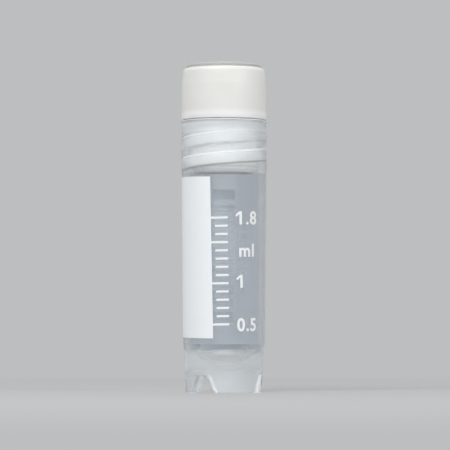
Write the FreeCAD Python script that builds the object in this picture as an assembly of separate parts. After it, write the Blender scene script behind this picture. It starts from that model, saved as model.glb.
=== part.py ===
import FreeCAD, Part
import math
import os

# A self-standing cryogenic vial with an internal thread, closed. Millimetres, +Z up.
# The origin is the centre of the ring that the foot stands on.

gentle_taper = 0.02           # a side that leans less than this is drawn as a straight spline

# Tube: bore and walls
bore_radius = 5.15            # at the neck, where the plug fits
bore_draft = 0.08             # how much narrower the bore is at the floor
neck_wall = 1.10
body_wall = 1.03              # just below the neck
body_draw_in = 0.21           # how much narrower the outside is above the foot
tube_height = 39.75
neck_length = 6.85
neck_step_length = 1.30       # over which the body widens to the neck
rim_bevel = 0.15
mouth_bevel = 0.30

# Tube: funnel floor and hollow foot
cavity_shoulder_height = 6.50
cavity_shoulder_bevel = 0.55
ledge_angle = 23.0            # degrees above the horizontal
well_radius = 2.75            # where the ledge turns down into the well
well_side_angle = 45.0
well_rounding = 3.20
hollow_height = 3.38          # of the skirt's inside, from the ground to the floor's underside
underside_angle = 35.0
underside_rounding = 6.30
gate_end_radius = 1.15
gate_root_radius = 1.35
gate_end_bevel = 0.40
gate_clearance = 1.00         # from the ground to the stub that moulding leaves
foot_height = 7.20
foot_draw_in = 0.22           # over the upper half of the foot
skirt_draw_in = 0.10          # over the lower half
skirt_height = 4.20
skirt_wall = 0.98
skirt_edge_bevel = 0.12
skirt_hollow_draft = 0.08     # how much wider the hollow is at the ground
skirt_hollow_bevel = 0.15
notch_count = 3
notch_height = 2.55
notch_base_width = 4.22
notch_top_width = 2.15
notch_rounding = 0.22
notch_overreach = 0.35        # how far the notch's cut goes inside the skirt's wall
first_notch_angle = 234.5     # degrees from +X, anticlockwise seen from above

# Screw thread, right-hand, single start
thread_pitch = 3.00
ridge_height = 0.65
ridge_root_width = 1.80
ridge_crest_width = 1.20
ridge_crest_bevel = 0.20      # along the axis, and half as much off the height
ridge_turns = 1.54
ridge_fade_angle = 40.0       # degrees over which each end rises to full height
ridge_end_narrowing = 0.80    # how much narrower the ridge is where it ends
thread_start_angle = 135.0    # degrees from +X
thread_start_height = 0.75    # from the end of the plug to the middle of the ridge
thread_sink = 0.40            # how far a ridge or a groove's cutter reaches past its face
thread_section_step = 15.0    # degrees between the cross-sections that the thread is drawn through
groove_lead_angle = 30.0      # how far the groove starts before the ridge
plug_clearance = 0.15         # radial, between the plug and the bore
crest_clearance = 0.10        # radial, between the ridge and its groove
flank_clearance = 0.12        # along the axis, on each side of the ridge

# Screw cap
plug_length = 7.60            # below the rim
plug_wall = 1.35
plug_tip_length = 0.90
plug_tip_step = 0.25
plug_tip_bevel = 0.40
core_draft = 0.25             # how much the hollow narrows towards its closed end
seam_gap = 0.08               # between the rim and the flange, held open by the gasket
cap_underlap = 0.03           # how far the cap's side stays inside the neck's side
cap_top_height = 7.70         # from the rim to the shoulder
cap_side_draft = 0.04
cap_edge_bevel = 0.10
shoulder_taper_length = 2.50
shoulder_taper = 0.20
shoulder_rounding = 0.60
insert_ring_height = 0.55
insert_ring_radius = 5.46
insert_ring_wall = 0.56
insert_ring_bevel = 0.18
insert_recess_depth = 1.20
top_plate_thickness = 1.20

# Silicone gasket, cut from flat sheet
gasket_thickness = 0.80
gasket_bore_clearance = 0.05
gasket_width = 0.75
gasket_rim_clearance = 0.05

# Places and fits that follow from the sizes above
neck_radius = bore_radius + neck_wall
body_top_radius = bore_radius + body_wall
body_bottom_radius = body_top_radius - body_draw_in
skirt_top_radius = body_bottom_radius - foot_draw_in
foot_radius = skirt_top_radius - skirt_draw_in
neck_bottom = tube_height - neck_length
body_top = neck_bottom - neck_step_length
bore_floor_radius = bore_radius - bore_draft
plug_radius = bore_radius - plug_clearance
plug_end = tube_height - plug_length
ridge_middle = plug_end + thread_start_height
gasket_inner_radius = plug_radius + gasket_bore_clearance
gasket_outer_radius = gasket_inner_radius + gasket_width
flange_underside = tube_height + seam_gap
cap_shoulder = tube_height + cap_top_height
axis = FreeCAD.Vector(0, 0, 1)


def corner(radius, height, rounding=0, bevel=0):
    """One corner of a turned section, and how it is finished."""
    return FreeCAD.Vector(radius, 0, height), rounding, bevel


def toward(start, end, length):
    """The point that lies length away from start on the way to end."""
    return start + (end - start).normalize() * length


def axis_dome(tip, before, after, rounding):
    """The arc, centred on the axis, that rounds off a cone's tip, with its ends in the outline's order."""
    side = after if before.x == 0 else before
    half_angle = math.atan2(side.x, abs(side.z - tip.z))
    up = math.copysign(1, side.z - tip.z)
    centre = tip + axis * (up * rounding / math.sin(half_angle))
    touch = toward(tip, side, rounding / math.tan(half_angle))
    lean = (math.pi / 2 - half_angle) / 2
    middle = centre + FreeCAD.Vector(math.sin(lean), 0, -up * math.cos(lean)) * rounding
    dome_tip = centre - axis * (up * rounding)
    start, end = (touch, dome_tip) if side is before else (dome_tip, touch)
    return Part.Arc(start, middle, end).toShape(), start, end


def rounded_corner(point, before, after, rounding):
    """The arc that rounds a corner between two straight sides, with its ends."""
    half_turn = (before - point).getAngle(after - point) / 2
    start = toward(point, before, rounding / math.tan(half_turn))
    end = toward(point, after, rounding / math.tan(half_turn))
    middle = toward(point, (start + end) / 2, rounding / math.sin(half_turn) - rounding)
    return Part.Arc(start, middle, end).toShape(), start, end


def section_face(corners):
    """A face in the XZ plane from a closed run of corners."""
    edges = []
    ends = []
    for index, (point, rounding, bevel) in enumerate(corners):
        before = corners[index - 1][0]
        after = corners[(index + 1) % len(corners)][0]
        start = end = point
        if rounding and point.x == 0:
            arc, start, end = axis_dome(point, before, after, rounding)
            edges.append(arc)
        elif rounding:
            arc, start, end = rounded_corner(point, before, after, rounding)
            edges.append(arc)
        elif bevel:
            start, end = toward(point, before, bevel), toward(point, after, bevel)
            edges.append(Part.makeLine(start, end))
        ends.append((start, end))
    for index, (start, end) in enumerate(ends):
        edges.append(side_line(ends[index - 1][1], start))
    return Part.Face(Part.Wire(Part.__sortEdges__(edges)))


def side_line(start, end):
    """A straight side; a gentle taper is a straight spline, which gives a far lighter mesh than a cone."""
    gentle = 0 < abs(end.x - start.x) < gentle_taper * abs(end.z - start.z)
    line = Part.LineSegment(start, end)
    return line.toBSpline().toShape() if gentle else line.toShape()


def turned(corners):
    """The solid of revolution of a section."""
    return section_face(corners).revolve(FreeCAD.Vector(), axis, 360)


def climb(distance, angle):
    """How far a side that leans at an angle above the horizontal rises over a distance."""
    return distance * math.tan(math.radians(angle))


def thread_section(angle, height, root_radius, crest_radius, root_width, crest_width, crest_bevel):
    """The thread's cross-section, in the half-plane through the axis at an angle."""
    upper_half = [
        (crest_radius, crest_width / 2 - crest_bevel),
        (crest_radius - crest_bevel / 2, crest_width / 2),
        (root_radius, root_width / 2),
    ]
    if not crest_bevel:
        upper_half.pop(0)
    lower_half = [(r, -z) for r, z in reversed(upper_half)]
    outward = FreeCAD.Vector(math.cos(angle), math.sin(angle), 0)
    points = [outward * r + axis * (height + z) for r, z in lower_half + upper_half]
    return Part.makePolygon(points + points[:1])


def thread(first_angle, last_angle, face_radius, height_above_face, crest_width, crest_bevel, fade_last):
    """A helical bar that stands on a cylinder of face_radius and is sunk into it.

    Angles are in degrees from the ridge's first end. The bar dies away at its first end, and at its last
    end where fade_last is set.
    """
    flank_slope = (ridge_root_width - ridge_crest_width) / 2 / ridge_height
    root_radius = face_radius - thread_sink
    sunk_crest_radius = face_radius - thread_sink / 2
    full_crest_radius = face_radius + height_above_face
    root_width = crest_width + 2 * flank_slope * (full_crest_radius - root_radius)
    steps = math.ceil((last_angle - first_angle) / thread_section_step)
    sections = []
    for step in range(steps + 1):
        angle = first_angle + (last_angle - first_angle) * step / steps
        rise = (angle - first_angle) / ridge_fade_angle
        if fade_last:
            rise = min(rise, (last_angle - angle) / ridge_fade_angle)
        share = min(1, rise)
        share = share * share * (3 - 2 * share)
        crest_radius = sunk_crest_radius + (full_crest_radius - sunk_crest_radius) * share
        turn = math.radians(thread_start_angle + angle)
        height = ridge_middle + thread_pitch * angle / 360
        narrowing = ridge_end_narrowing * (1 - share)
        top_width = crest_width + 2 * flank_slope * (full_crest_radius - crest_radius) - narrowing
        foot_width = root_width - narrowing
        section = thread_section(turn, height, root_radius, crest_radius, foot_width, top_width, crest_bevel)
        sections.append(section)
    return Part.makeLoft(sections, True, False)


def thread_groove():
    """The space in the neck that the cap's ridge runs in, from below the ridge up through the mouth."""
    crest_radius = plug_radius + ridge_height + crest_clearance
    crest_width = ridge_crest_width + 2 * flank_clearance
    past_mouth = (tube_height + ridge_root_width - ridge_middle) / thread_pitch * 360
    depth = crest_radius - bore_radius
    return thread(-groove_lead_angle, past_mouth, bore_radius, depth, crest_width, 0, False)


def notch(angle):
    """The cutter for one trapezoid notch through the foot's skirt."""
    flank_slope = (notch_base_width - notch_top_width) / 2 / notch_height
    below_ground = 1
    base_half = notch_base_width / 2 + flank_slope * below_ground
    outline = [
        corner(-base_half, -below_ground),
        corner(-notch_top_width / 2, notch_height, rounding=notch_rounding),
        corner(notch_top_width / 2, notch_height, rounding=notch_rounding),
        corner(base_half, -below_ground),
    ]
    inner = skirt_top_radius - skirt_wall - notch_overreach
    outer = foot_radius + 1
    cutter = section_face(outline).extrude(FreeCAD.Vector(0, outer - inner, 0))
    cutter.translate(FreeCAD.Vector(0, inner, 0))
    cutter.rotate(FreeCAD.Vector(), axis, angle - 90)
    return cutter


def make_tube():
    well_edge = cavity_shoulder_height - climb(bore_floor_radius - well_radius, ledge_angle)
    well_tip = well_edge - climb(well_radius, well_side_angle)
    hollow_top_radius = skirt_top_radius - skirt_wall
    hollow_radius = hollow_top_radius + skirt_hollow_draft
    underside_tip = hollow_height - climb(hollow_top_radius, underside_angle)
    tube = turned([
        corner(0, underside_tip, rounding=underside_rounding),
        corner(hollow_top_radius, hollow_height, bevel=skirt_hollow_bevel),
        corner(hollow_radius, 0),
        corner(foot_radius, 0, bevel=skirt_edge_bevel),
        corner(skirt_top_radius, skirt_height),
        corner(body_bottom_radius, foot_height),
        corner(body_top_radius, body_top),
        corner(neck_radius, neck_bottom),
        corner(neck_radius, tube_height, bevel=rim_bevel),
        corner(bore_radius, tube_height, bevel=mouth_bevel),
        corner(bore_radius, body_top),
        corner(bore_floor_radius, cavity_shoulder_height, bevel=cavity_shoulder_bevel),
        corner(well_radius, well_edge),
        corner(0, well_tip, rounding=well_rounding),
    ])
    gate = turned([
        corner(0, gate_clearance),
        corner(gate_end_radius, gate_clearance, bevel=gate_end_bevel),
        corner(gate_root_radius, hollow_height),
        corner(0, hollow_height),
    ])
    tube = tube.fuse(gate)
    for index in range(notch_count):
        tube = tube.cut(notch(first_notch_angle + index * 360 / notch_count))
    return tube.cut(thread_groove())


def make_screw_cap():
    cap_radius = neck_radius - cap_underlap
    side_top = cap_shoulder - shoulder_taper_length
    ring_top = cap_shoulder + insert_ring_height
    ring_bore = insert_ring_radius - insert_ring_wall
    recess_floor = ring_top - insert_recess_depth
    seat_radius = gasket_outer_radius + gasket_rim_clearance
    seat_roof = tube_height + gasket_thickness
    core_top = recess_floor - top_plate_thickness
    core_radius = plug_radius - plug_wall
    tip_radius = plug_radius - plug_tip_step
    body = turned([
        corner(0, core_top),
        corner(core_radius - core_draft, core_top),
        corner(core_radius, plug_end),
        corner(tip_radius, plug_end, bevel=plug_tip_bevel),
        corner(tip_radius, plug_end + plug_tip_length - plug_tip_step),
        corner(plug_radius, plug_end + plug_tip_length),
        corner(plug_radius, seat_roof),
        corner(seat_radius, seat_roof),
        corner(seat_radius, flange_underside),
        corner(cap_radius, flange_underside, bevel=cap_edge_bevel),
        corner(cap_radius - cap_side_draft, side_top),
        corner(cap_radius - cap_side_draft - shoulder_taper, cap_shoulder, rounding=shoulder_rounding),
        corner(insert_ring_radius, cap_shoulder),
        corner(insert_ring_radius, ring_top, bevel=insert_ring_bevel),
        corner(ring_bore, ring_top, bevel=insert_ring_bevel),
        corner(ring_bore, recess_floor),
        corner(0, recess_floor),
    ])
    ridge = thread(
        0, 360 * ridge_turns, plug_radius, ridge_height, ridge_crest_width, ridge_crest_bevel, True)
    return body.fuse(ridge)


def make_gasket():
    washer = Part.makeCylinder(gasket_outer_radius, gasket_thickness, axis * tube_height)
    return washer.cut(Part.makeCylinder(gasket_inner_radius, gasket_thickness, axis * tube_height))


os.makedirs("parts", exist_ok=True)
nodes = {
    "tube": make_tube(),
    "screw_cap": make_screw_cap(),
    "gasket": make_gasket(),
}
for name, shape in nodes.items():
    print(name, "solids", len(shape.Solids), "valid", shape.isValid(), "volume", round(shape.Volume, 2))
    shape.exportStep("parts/" + name + ".step")
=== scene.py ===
import math
import bpy
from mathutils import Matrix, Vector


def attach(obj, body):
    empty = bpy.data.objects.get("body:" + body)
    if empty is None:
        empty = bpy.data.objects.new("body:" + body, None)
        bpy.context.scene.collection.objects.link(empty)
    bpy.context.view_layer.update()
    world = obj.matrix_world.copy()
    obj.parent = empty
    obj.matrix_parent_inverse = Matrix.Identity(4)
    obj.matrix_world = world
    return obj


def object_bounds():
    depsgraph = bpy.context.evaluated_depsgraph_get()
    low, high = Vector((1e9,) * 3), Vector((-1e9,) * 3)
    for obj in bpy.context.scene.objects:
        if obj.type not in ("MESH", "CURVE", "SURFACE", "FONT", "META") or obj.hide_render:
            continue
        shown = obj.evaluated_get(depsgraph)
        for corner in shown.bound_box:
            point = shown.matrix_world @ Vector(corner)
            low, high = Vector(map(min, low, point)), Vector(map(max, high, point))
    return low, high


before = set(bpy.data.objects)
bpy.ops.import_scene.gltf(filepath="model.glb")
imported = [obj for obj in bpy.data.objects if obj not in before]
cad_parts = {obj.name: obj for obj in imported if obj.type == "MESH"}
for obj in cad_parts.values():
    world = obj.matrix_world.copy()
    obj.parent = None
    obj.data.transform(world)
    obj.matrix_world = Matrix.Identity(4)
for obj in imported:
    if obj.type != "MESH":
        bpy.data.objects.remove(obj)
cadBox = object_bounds()
mm = 0.001
upright = math.radians(90)        # turns a flat primitive to face the front
print("vial loaded:", ", ".join(sorted(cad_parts)))


def pick(*pieces):
    bpy.ops.object.select_all(action="DESELECT")
    for piece in pieces:
        piece.select_set(True)
    bpy.context.view_layer.objects.active = pieces[0]


def settle(piece):
    # moves the object's place, turn and scale into its mesh
    pick(piece)
    bpy.ops.object.transform_apply(location=True, rotation=True, scale=True)


def applyModifier(piece, kind, **settings):
    pick(piece)
    bpy.ops.object.modifier_add(type=kind)
    modifier = piece.modifiers[-1]
    for key, value in settings.items():
        setattr(modifier, key, value)
    bpy.ops.object.modifier_apply(modifier=modifier.name)


# A socket that can stand in sums like a number, and adds any other node.
class Wire:
    def __init__(self, tree, socket=None):
        self.tree = tree
        self.socket = socket

    def node(self, kind, settings=None, sockets=None, output=0):
        made = self.tree.nodes.new("ShaderNode" + kind)
        for key, value in (settings or {}).items():
            setattr(made, key, value)
        for key, value in (sockets or {}).items():
            if isinstance(value, Wire):
                self.tree.links.new(value.socket, made.inputs[key])
            else:
                made.inputs[key].default_value = value
        return Wire(self.tree, made.outputs[output]) if made.outputs else made

    def maths(self, operation, first, second):
        return self.node("Math", {"operation": operation}, {0: first, 1: second})

    def __add__(self, other):
        return self.maths("ADD", self, other)

    __radd__ = __add__

    def __sub__(self, other):
        return self.maths("SUBTRACT", self, other)

    def __rsub__(self, other):
        return self.maths("SUBTRACT", other, self)

    def __mul__(self, other):
        return self.maths("MULTIPLY", self, other)

    __rmul__ = __mul__


def newMaterial(name):
    material = bpy.data.materials.new(name)
    material.use_nodes = True
    material.node_tree.nodes.clear()
    return material, Wire(material.node_tree)


def mixTones(start, share, first, second):
    # first where share is 0, second where it is 1
    first, second = [tone if isinstance(tone, Wire) else (*tone, 1) for tone in (first, second)]
    return start.node("Mix", {"data_type": "RGBA"}, {0: share, 6: first, 7: second}, output=2)


def ramped(start, value, span, atLow=0.0, atHigh=1.0):
    # eases from atLow to atHigh while value crosses the span
    return start.node("MapRange", {"interpolation_type": "SMOOTHSTEP"}, {
        "Value": value, "From Min": span[0], "From Max": span[1], "To Min": atLow, "To Max": atHigh})


def noise(start, place, size, detail=2.0):
    # cloudy pattern whose blobs are about size across
    return start.node("TexNoise", {}, {"Vector": place, "Scale": 1 / size, "Detail": detail})


def grainBump(start, place, look):
    grain = noise(start, place, look["grain"], detail=3.0)
    bump = start.node("Bump", {}, {"Height": grain, "Distance": look["grainDepth"], "Strength": 1.0})
    return grain, bump


tubeLook = {
    "wallTone": (0.79, 0.832, 0.87),
    "footTone": (0.90, 0.92, 0.93),
    # painted shade and reflection: the funnel at the chamber's floor is coloured dark
    "paintedFunnelShade": (0.36, 0.39, 0.42),
    "neckTone": (0.91, 0.925, 0.93),
    "cloudTone": (0.93, 0.94, 0.95),
    "cloudShare": 0.10,
    "cloudSize": 2.6 * mm,
    "frostTone": (0.84, 0.875, 0.90),
    "paintedUnderFlankLight": (0.98, 0.99, 1.00),        # painted light: the frost on the groove's lower flanks is coloured lighter, as they look down and get little light
    # heights over which a zone fades in or out
    "skirtEnds": (3.3 * mm, 3.6 * mm),
    "funnelStarts": (3.7 * mm, 3.9 * mm),   # the chamber's floor lies above this, within the bore
    "thickEnds": (5.2 * mm, 6.7 * mm),      # the thick plastic of the foot
    "neckStarts": (31.8 * mm, 32.2 * mm),   # the wall thickens from here up
    "mouthStarts": (37.4 * mm, 38.2 * mm),
    "rimStarts": (39.2 * mm, 39.4 * mm),
    # the same for radii
    "gateEnds": (1.5 * mm, 1.7 * mm),
    "boreEnds": (5.1 * mm, 5.3 * mm),
    "grooveEnds": (5.80 * mm, 5.85 * mm),   # the groove's floor lies within this
    # and for how far a flank of the groove faces up or down
    "lowerFlank": (0.15, 0.45),
    "upperFlank": (-0.45, -0.15),
    "clarity": 0.92,                        # share of the light that goes through a surface
    "lampsPass": 0.985,                     # how much lamp light each surface lets through
    "ior": 1.49,
    "roughness": 0.07,
    "footRoughness": 0.22,
    "neckRoughness": 0.14,
    "frostRoughness": 0.5,
    "cloudRoughness": 0.03,
    "grain": 0.35 * mm,
    "grainDepth": 0.004 * mm,
    "floorHaze": 0.45,                      # seen through the thick plastic of the foot
    "skirtHaze": 0.16,                      # and through its thin skirt
    "floorFrost": 0.08,
    "gateFrost": 0.30,
    "neckFrost": 0.10,
    "mouthFrost": 0.22,
    "grooveFrost": 0.26,
    "underFrost": 0.90,                     # on the groove's lower flanks
    "upperFrost": 0.95,                     # and on its upper ones
    "rimShare": 0.5,                        # how much of the frost is left on the rim
}


def makeTubePlastic():
    look = tubeLook
    material, start = newMaterial("milkyPolypropylene")
    place = start.node("TexCoord", output="Object")
    height = start.node("SeparateXYZ", {}, {"Vector": place}, output="Z")
    aside = start.node("VectorMath", {"operation": "MULTIPLY"}, {0: place, 1: (1, 1, 0)})
    radius = start.node("VectorMath", {"operation": "LENGTH"}, {0: aside}, output="Value")
    # level is 1 on a face that looks up and -1 on one that looks down, seen from either side
    facing = start.node("TexCoord", output="Normal")
    within = start.node("NewGeometry", output="Backfacing")
    level = start.node("SeparateXYZ", {}, {"Vector": facing}, output="Z") * (1 - within * 2)

    skirt = ramped(start, height, look["skirtEnds"], 1.0, 0.0)
    gate = skirt * ramped(start, radius, look["gateEnds"], 1.0, 0.0)
    thick = ramped(start, height, look["thickEnds"], 1.0, 0.0)
    inside = ramped(start, radius, look["boreEnds"], 1.0, 0.0)
    funnel = thick * inside * ramped(start, height, look["funnelStarts"])
    neck = ramped(start, height, look["neckStarts"])
    belowRim = ramped(start, height, look["rimStarts"], 1.0, look["rimShare"])
    mouth = belowRim * ramped(start, height, look["mouthStarts"])
    grooveRing = ramped(start, radius, look["grooveEnds"], 1.0, 0.0)
    groove = neck * belowRim * (1 - inside) * grooveRing
    lower = ramped(start, level, look["lowerFlank"])
    upper = ramped(start, level, look["upperFlank"], 1.0, 0.0)
    flanks = neck * belowRim * (lower * look["underFrost"] + upper * look["upperFrost"])

    clouds = noise(start, place, look["cloudSize"])
    tone = mixTones(start, thick, look["wallTone"], look["footTone"])
    # painted shade: the funnel is coloured dark
    tone = mixTones(start, funnel, tone, look["paintedFunnelShade"])
    tone = mixTones(start, neck, tone, look["neckTone"])
    tone = mixTones(start, clouds * look["cloudShare"], tone, look["cloudTone"])
    rough = (thick * (look["footRoughness"] - look["roughness"])
             + neck * (look["neckRoughness"] - look["roughness"])
             + look["roughness"] + clouds * look["cloudRoughness"])
    bump = grainBump(start, place, look)[1]
    clear = start.node("BsdfPrincipled", {}, {
        "Base Color": tone, "Roughness": rough, "IOR": look["ior"], "Normal": bump,
        "Transmission Weight": look["clarity"]})

    # painted light: the frost is coloured lighter on the groove's lower flanks, away from the rim
    offRim = (belowRim - look["rimShare"]) * (1 / (1 - look["rimShare"]))
    frosted = start.node("BsdfPrincipled", {}, {
        "Base Color": mixTones(start, neck * lower * offRim, look["frostTone"], look["paintedUnderFlankLight"]),
        "Roughness": look["frostRoughness"], "IOR": look["ior"], "Normal": bump})
    haze = ramped(start, skirt, (0.0, 1.0), look["floorHaze"], look["skirtHaze"])
    frost = ((thick - funnel) * (within * haze + look["floorFrost"])
             + gate * look["gateFrost"] + neck * look["neckFrost"]
             + mouth * look["mouthFrost"] + groove * look["grooveFrost"] + flanks)
    plastic = start.node("MixShader", {}, {0: frost, 1: clear, 2: frosted})
    passing = start.node("BsdfTransparent", {}, {"Color": (look["lampsPass"],) * 3 + (1,)})
    lamp = start.node("LightPath", output="Is Shadow Ray")
    both = start.node("MixShader", {}, {0: lamp, 1: plastic, 2: passing})
    start.node("OutputMaterial", {}, {"Surface": both})
    return material


capLook = {
    "tone": (0.81, 0.81, 0.785),
    "shade": (0.76, 0.765, 0.74),
    "cloudSize": 3.5 * mm,
    "paintedEdgeGlowTone": (0.93, 0.93, 0.915),        # painted glow: the cap's colour is lighter along its lower edge, for light coming through the thin plastic
    "paintedEdgeGlowEnds": (40.4 * mm, 41.4 * mm),
    "paintedRingShadeTone": (0.46, 0.465, 0.455),       # painted shade: the insert ring on top is thin, so it looks greyer, and its colour is darkened for that
    "ringShadeStarts": (47.3 * mm, 47.6 * mm),
    "plugEnds": (39.8 * mm, 39.9 * mm),
    "ior": 1.49,
    "roughness": 0.42,
    "plugRoughness": 0.20,                  # the plug is moulded smoother than the outside
    "grain": 0.25 * mm,
    "grainDepth": 0.006 * mm,
    "grainRoughness": 0.10,
    "glow": 0.8,                            # how much light wanders inside the plastic
    "glowReach": (1.0, 1.0, 0.95),          # of red, green and blue, as shares of the depth
    "gripDepth": 0.8 * mm,
    "plugDepth": 6.0 * mm,                  # the plug's wall is thin, so light comes through it
}


def makeCapPlastic():
    look = capLook
    material, start = newMaterial("capPolypropylene")
    place = start.node("TexCoord", output="Object")
    height = start.node("SeparateXYZ", {}, {"Vector": place}, output="Z")
    outer = ramped(start, height, look["plugEnds"])
    # painted glow: the colour is made lighter along the cap's lower edge
    edge = outer * ramped(start, height, look["paintedEdgeGlowEnds"], 1.0, 0.0)
    # painted shade: the insert ring on top is coloured darker than the rest of the cap
    ring = ramped(start, height, look["ringShadeStarts"])
    tone = mixTones(start, noise(start, place, look["cloudSize"]), look["tone"], look["shade"])
    tone = mixTones(start, ring, tone, look["paintedRingShadeTone"])
    tone = mixTones(start, edge, tone, look["paintedEdgeGlowTone"])
    grain, bump = grainBump(start, place, look)
    rough = (outer * (look["roughness"] - look["plugRoughness"]) + look["plugRoughness"]
             + grain * look["grainRoughness"] - look["grainRoughness"] / 2)
    plug, grip = [start.node("BsdfPrincipled", {}, {
        "Base Color": tone, "Roughness": rough, "IOR": look["ior"], "Normal": bump,
        "Subsurface Weight": look["glow"], "Subsurface Radius": look["glowReach"],
        "Subsurface Scale": depth}) for depth in (look["plugDepth"], look["gripDepth"])]
    both = start.node("MixShader", {}, {0: outer, 1: plug, 2: grip})
    start.node("OutputMaterial", {}, {"Surface": both})
    return material


gasketLook = {
    "tone": (0.86, 0.87, 0.88),
    "dust": (0.80, 0.81, 0.82),
    "dustSize": 1.5 * mm,
    "ior": 1.43,
    "roughness": 0.5,
    "grain": 0.12 * mm,
    "grainDepth": 0.004 * mm,
    "grainRoughness": 0.1,
    "glow": 0.7,
    "glowReach": (1.0, 1.0, 1.0),
    "glowDepth": 1.0 * mm,
}


def makeSilicone():
    look = gasketLook
    material, start = newMaterial("gasketSilicone")
    place = start.node("TexCoord", output="Object")
    dust = noise(start, place, look["dustSize"])
    grain, bump = grainBump(start, place, look)
    rubber = start.node("BsdfPrincipled", {}, {
        "Base Color": mixTones(start, dust, look["tone"], look["dust"]),
        "Roughness": grain * look["grainRoughness"] + look["roughness"],
        "IOR": look["ior"], "Normal": bump, "Subsurface Weight": look["glow"],
        "Subsurface Radius": look["glowReach"], "Subsurface Scale": look["glowDepth"]})
    start.node("OutputMaterial", {}, {"Surface": rubber})
    return material


for nodeName, slotName, makeMaterial in (
        ("tube", "tube_polypropylene", makeTubePlastic),
        ("screw_cap", "cap_polypropylene", makeCapPlastic),
        ("gasket", "silicone", makeSilicone)):
    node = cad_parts[nodeName]
    node.data.materials.clear()
    node.data.materials.append(makeMaterial())
print("plastic on the tube, cap and gasket")


# The print is laid out flat in front of the tube, then wrapped round it.
printLook = {
    "wrapRadius": 6.15 * mm,
    "ringSteps": 64,
    "tilt": 1.02,                 # degrees; the screen was turned a little on the tube
    "tiltCentre": 19.6 * mm,
    "stand": 0.015 * mm,          # gap between the tube and the film of ink
    "film": 0.02 * mm,
    "column": 0.25 * mm,          # widest step round the tube
    "row": 2 * mm,
    "merge": 0.001 * mm,
}
inkLook = {
    "ior": 1.5,
    "roughness": 0.55,
    "grain": 0.08 * mm,
    "grainDepth": 0.002 * mm,
    "grainRoughness": 0.15,
    "thinSize": 1.8 * mm,         # of the spots where the ink is thin
}


def makeInk(name, piece):
    look = inkLook
    material, start = newMaterial(name)
    place = start.node("TexCoord", output="Object")
    thin = noise(start, place, look["thinSize"])
    grain, bump = grainBump(start, place, look)
    ink = start.node("BsdfPrincipled", {}, {
        "Base Color": mixTones(start, thin, piece["tone"], piece["thinTone"]),
        "Roughness": grain * look["grainRoughness"] + look["roughness"],
        "IOR": look["ior"], "Normal": bump})
    start.node("OutputMaterial", {}, {"Surface": ink})
    return material


def makeWrapRing():
    # x runs along it from the front of the tube towards the right
    bpy.ops.object.select_all(action="DESELECT")
    bpy.ops.curve.primitive_bezier_circle_add(radius=printLook["wrapRadius"],
                                              rotation=(0, 0, math.radians(90)))
    ring = bpy.context.object
    settle(ring)
    ring.data.resolution_u = printLook["ringSteps"]
    bpy.ops.object.mode_set(mode="EDIT")
    bpy.ops.curve.select_all(action="SELECT")
    bpy.ops.curve.switch_direction()
    bpy.ops.object.mode_set(mode="OBJECT")
    return ring


def flatField(left, right, low, high, slant=0):
    # a flat strip facing the front, split so that it can bend
    bpy.ops.object.select_all(action="DESELECT")
    columns = max(1, math.ceil((right - left) / printLook["column"]))
    rows = max(1, math.ceil((high - low) / printLook["row"]))
    bpy.ops.mesh.primitive_grid_add(x_subdivisions=columns, y_subdivisions=rows, size=1,
                                    location=((left + right) / 2, 0, (low + high) / 2),
                                    rotation=(upright, math.radians(slant), 0))
    field = bpy.context.object
    field.scale = (right - left, high - low, 1)
    settle(field)
    return field


def tiltArtwork(artwork):
    pick(artwork)
    bpy.ops.object.mode_set(mode="EDIT")
    bpy.ops.mesh.select_all(action="SELECT")
    bpy.ops.transform.rotate(value=math.radians(printLook["tilt"]), orient_axis="Y",
                             center_override=(0, 0, printLook["tiltCentre"]))
    bpy.ops.object.mode_set(mode="OBJECT")


def printOnTube(artworks, name, ring, material):
    pick(*artworks)
    if len(artworks) > 1:
        bpy.ops.object.join()
    ink = bpy.context.view_layer.objects.active
    ink.name = ink.data.name = name
    tiltArtwork(ink)
    applyModifier(ink, "CURVE", object=ring, deform_axis="POS_X")
    applyModifier(ink, "SHRINKWRAP", target=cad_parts["tube"], offset=printLook["stand"],
                  wrap_method="NEAREST_SURFACEPOINT", wrap_mode="OUTSIDE_SURFACE")
    applyModifier(ink, "SOLIDIFY", thickness=printLook["film"], offset=1.0)
    settle(ink)
    bpy.ops.object.shade_flat()
    ink.data.materials.append(material)
    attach(ink, "tube_body")


patchPlace = {
    "edge": -1.826 * mm,
    "wrapEnd": -15.8 * mm,
    "low": 8.16 * mm,             # half-way along its lower edge
    "high": 31.57 * mm,
    "lean": 2.2,                  # degrees; its ends run down to the right, its sides stay upright
    "spare": 0.5 * mm,            # laid out past each side, then cut off
    "tone": (0.87, 0.90, 0.93),
    "thinTone": (0.84, 0.87, 0.90),
}


def makePatch(ring):
    place = patchPlace
    field = flatField(place["wrapEnd"] - place["spare"], place["edge"] + place["spare"],
                      place["low"], place["high"], slant=place["lean"])
    bpy.ops.object.mode_set(mode="EDIT")
    for side, outward in ((place["wrapEnd"], -1), (place["edge"], 1)):
        bpy.ops.mesh.select_all(action="SELECT")
        bpy.ops.mesh.bisect(plane_co=(side, 0, 0), plane_no=(outward, 0, 0), clear_outer=True,
                            threshold=printLook["merge"])
    bpy.ops.object.mode_set(mode="OBJECT")
    printOnTube([field], "writing_patch", ring, makeInk("patchInk", place))


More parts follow.
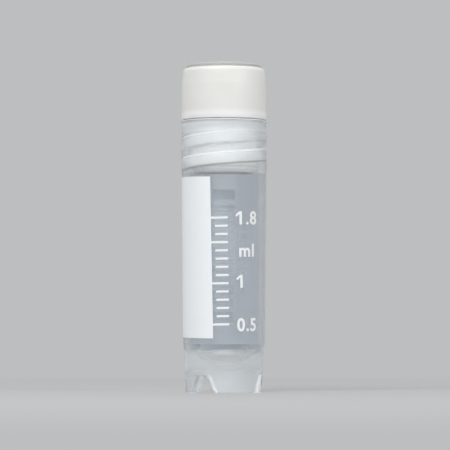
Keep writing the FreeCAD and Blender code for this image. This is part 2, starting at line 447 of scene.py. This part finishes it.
scalePlace = {
    "firstMark": 5,               # marks are counted in tenths of a millilitre
    "lastMark": 18,
    "longMarks": (5, 10, 15, 18),
    "firstHeight": 9.89 * mm,
    "millilitre": 11.88 * mm,     # height that 1 ml takes in the bore
    "lineWidth": 0.30 * mm,
    "longFrom": -1.826 * mm,
    "shortFrom": -1.235 * mm,
    "to": 0.62 * mm,
    "numeralHeight": 1.9 * mm,
    "numeralWeight": 0.065 * mm,
    "numeralSpacing": 1.12,
    "capitalShare": 0.729,        # height of a capital of the built-in face, for a size of 1
    "curveSteps": 6,
    "flagSize": 0.52 * mm,
    "flagStroke": 0.31 * mm,
    "flagDrop": 0.92,             # how far its middle lies under the top, as a share of its size
    "flagReach": 0.72,            # half its length, likewise
    "flagSlant": -45,             # degrees
    "tone": (0.90, 0.91, 0.92),
    "thinTone": (0.86, 0.875, 0.89),
}
numerals = (  # words, then in mm the left, the foot and the stem of a 1 that gets a flag
    ("1.8", 1.93, 24.36, 2.38),
    ("ml", 2.20, 19.67, None),
    ("1", 1.93, 15.17, 2.38),
    ("0.5", 1.80, 8.90, None),
)


def flatText(words, left, low):
    place = scalePlace
    bpy.ops.object.select_all(action="DESELECT")
    bpy.ops.object.text_add(location=(left, 0, low), rotation=(upright, 0, 0))
    letters = bpy.context.object
    letters.data.body = words
    letters.data.size = place["numeralHeight"] / place["capitalShare"]
    letters.data.offset = place["numeralWeight"]
    letters.data.space_character = place["numeralSpacing"]
    letters.data.resolution_u = place["curveSteps"]
    pick(letters)
    bpy.ops.object.convert(target="MESH")
    letters = bpy.context.object
    settle(letters)
    return letters


def cutInColumns(artwork):
    # cuts across long flat letters, so that they bend
    spread = [v.co.x for v in artwork.data.vertices]
    step = printLook["column"]
    pick(artwork)
    bpy.ops.object.mode_set(mode="EDIT")
    for n in range(math.ceil(min(spread) / step), math.floor(max(spread) / step) + 1):
        bpy.ops.mesh.select_all(action="SELECT")
        bpy.ops.mesh.bisect(plane_co=(n * step, 0, 0), plane_no=(1, 0, 0))
    bpy.ops.mesh.select_all(action="SELECT")
    bpy.ops.mesh.remove_doubles(threshold=printLook["merge"])
    bpy.ops.object.mode_set(mode="OBJECT")


def flatFlag(right, high):
    # the slanting stroke at the top of a 1
    place = scalePlace
    middle = right - place["flagSize"] / 2
    height = high - place["flagDrop"] * place["flagSize"]
    reach, half = place["flagReach"] * place["flagSize"], place["flagStroke"] / 2
    return flatField(middle - reach, middle + reach, height - half, height + half,
                     slant=place["flagSlant"])


def makeScale(ring):
    place = scalePlace
    marks = []
    for tenths in range(place["firstMark"], place["lastMark"] + 1):
        left = place["longFrom"] if tenths in place["longMarks"] else place["shortFrom"]
        middle = place["firstHeight"] + (tenths - place["firstMark"]) / 10 * place["millilitre"]
        marks.append(flatField(left, place["to"], middle - place["lineWidth"] / 2,
                               middle + place["lineWidth"] / 2))
    for words, left, low, stem in numerals:
        letters = flatText(words, left * mm, low * mm)
        cutInColumns(letters)
        marks.append(letters)
        if stem:
            marks.append(flatFlag(stem * mm, low * mm + place["numeralHeight"]))
    printOnTube(marks, "graduations", ring, makeInk("scaleInk", place))


ladderPlace = {
    "halfWidth": 1.88 * mm,
    "aside": 0.17 * mm,           # it isn't quite opposite the scale
    "low": 10.05 * mm,
    "high": 29.62 * mm,
    "quiet": 1.50 * mm,           # plain field at each end
    "unit": 0.25 * mm,
    "tone": (0.93, 0.935, 0.94),
    "thinTone": (0.90, 0.905, 0.91),
}
ovalPlace = {
    "aside": 3.60 * mm,           # from the ladder's middle
    "low": 14.95 * mm,
    "step": 1.18 * mm,
    "count": 9,
    "wide": 1.55 * mm,
    "high": 0.95 * mm,
    "line": 0.22 * mm,
    "corners": 20,
}


def flatOval(middle, height):
    # only an outline
    bpy.ops.object.select_all(action="DESELECT")
    bpy.ops.mesh.primitive_circle_add(vertices=ovalPlace["corners"], radius=0.5, fill_type="NGON",
                                      location=(middle, 0, height), rotation=(upright, 0, 0))
    oval = bpy.context.object
    oval.scale = (ovalPlace["wide"], ovalPlace["high"], 1)
    settle(oval)
    bpy.ops.object.mode_set(mode="EDIT")
    bpy.ops.mesh.select_all(action="SELECT")
    bpy.ops.mesh.inset(thickness=ovalPlace["line"])
    bpy.ops.mesh.delete(type="FACE")
    bpy.ops.object.mode_set(mode="OBJECT")
    return oval


def makeBackCode(ring):
    # a made-up ladder of bars on the back of the tube, with a column of ovals beside it
    place = ladderPlace
    back = math.pi * printLook["wrapRadius"] + place["aside"]
    left, right = back - place["halfWidth"], back + place["halfWidth"]
    fields = [flatField(left, right, place["low"], place["low"] + place["quiet"]),
              flatField(left, right, place["high"] - place["quiet"], place["high"])]
    height, n = place["low"] + place["quiet"], 0
    while True:
        # each gap and bar is one or two units high, in an uneven order
        gap = (1 + (n * 5 + 1) % 3 % 2) * place["unit"]
        bar = (1 + (n * 7 + 2) % 5 % 2) * place["unit"]
        if height + gap + bar > place["high"] - place["quiet"] - place["unit"]:
            break
        fields.append(flatField(left, right, height + gap, height + gap + bar))
        height, n = height + gap + bar, n + 1
    for n in range(ovalPlace["count"]):
        fields.append(flatOval(back - ovalPlace["aside"], ovalPlace["low"] + n * ovalPlace["step"]))
    printOnTube(fields, "back_code", ring, makeInk("codeInk", place))


wrapRing = makeWrapRing()
makePatch(wrapRing)
makeScale(wrapRing)
makeBackCode(wrapRing)
bpy.data.objects.remove(wrapRing)
print("print wrapped on the tube")


room = {
    "backdrop": (0.51, 0.515, 0.52),
    "floorTone": (0.51, 0.515, 0.52),
    "floorRadius": 1.2,
    "floorCorners": 96,
    "fade": (0.04, 0.20),         # how far from the vial the floor fades into the backdrop
    "ambient": 0.52,
}
lamps = (  # name, place, width, height, power
    ("frontLamp", (0.05, -0.80, 0.16), 0.98, 0.30, 0.45),
    ("keyLamp", (-0.25, -0.44, 0.50), 0.40, 0.30, 2.3),
    ("fillLamp", (0.48, -0.48, 0.30), 0.35, 0.30, 1.25),
    ("topLamp", (0.05, 0.16, 0.80), 0.50, 0.50, 0.9),
)


def makeFloor():
    bpy.ops.object.select_all(action="DESELECT")
    bpy.ops.mesh.primitive_circle_add(vertices=room["floorCorners"], radius=room["floorRadius"],
                                      fill_type="NGON", location=(0, 0, 0))
    floor = bpy.context.object
    floor.name = "studioFloor"
    material, start = newMaterial("studioFloorPaint")
    place = start.node("TexCoord", output="Object")
    away = start.node("VectorMath", {"operation": "LENGTH"}, {0: place}, output="Value")
    fade = ramped(start, away, room["fade"])
    paint = start.node("BsdfDiffuse", {}, {"Color": (*room["floorTone"], 1)})
    gone = start.node("BsdfTransparent")
    both = start.node("MixShader", {}, {0: fade, 1: paint, 2: gone})
    start.node("OutputMaterial", {}, {"Surface": both})
    floor.data.materials.append(material)


def makeWorld():
    world = bpy.data.worlds.new("studioAir")
    bpy.context.scene.world = world
    world.use_nodes = True
    world.node_tree.nodes.clear()
    start = Wire(world.node_tree)
    lightPath = start.node("LightPath", output="Is Camera Ray")
    rays = lightPath
    for kind in ("Is Glossy Ray", "Is Transmission Ray"):
        rays = rays + Wire(world.node_tree, lightPath.socket.node.outputs[kind])
    seen = start.maths("MINIMUM", rays, 1.0)
    shown = start.node("Background", {}, {"Color": (*room["backdrop"], 1), "Strength": 1.0})
    lit = start.node("Background", {}, {"Color": (1, 1, 1, 1), "Strength": room["ambient"]})
    both = start.node("MixShader", {}, {0: seen, 1: lit, 2: shown})
    start.node("OutputWorld", {}, {"Surface": both})


def makeLamps():
    for name, spot, width, height, power in lamps:
        bpy.ops.object.light_add(type="AREA", location=spot)
        lamp = bpy.context.object
        lamp.name = name
        lamp.data.shape = "RECTANGLE"
        lamp.data.size = width
        lamp.data.size_y = height
        lamp.data.energy = power
        aim = (cadBox[0] + cadBox[1]) / 2 - lamp.location
        lamp.rotation_euler = aim.to_track_quat("-Z", "Y").to_euler()


# The camera stands low in front and looks up a little.
cameraPlace = {
    "distance": 435 * mm,
    "height": 8.0 * mm,
    "aimHeight": 24.47 * mm,
    "aside": 0.15 * mm,
    "lens": 237.6,
    "clipStart": 10 * mm,
}


def makeCamera():
    place = cameraPlace
    rise = math.atan2(place["aimHeight"] - place["height"], place["distance"])
    bpy.ops.object.camera_add(location=(place["aside"], -place["distance"], place["height"]),
                              rotation=(upright + rise, 0, 0))
    camera = bpy.context.object
    camera.data.lens = place["lens"]
    camera.data.clip_start = place["clipStart"]
    bpy.context.scene.camera = camera


makeFloor()
makeWorld()
makeLamps()
makeCamera()
bpy.context.scene.view_settings.view_transform = "Standard"
print("floor, lamps and camera placed")
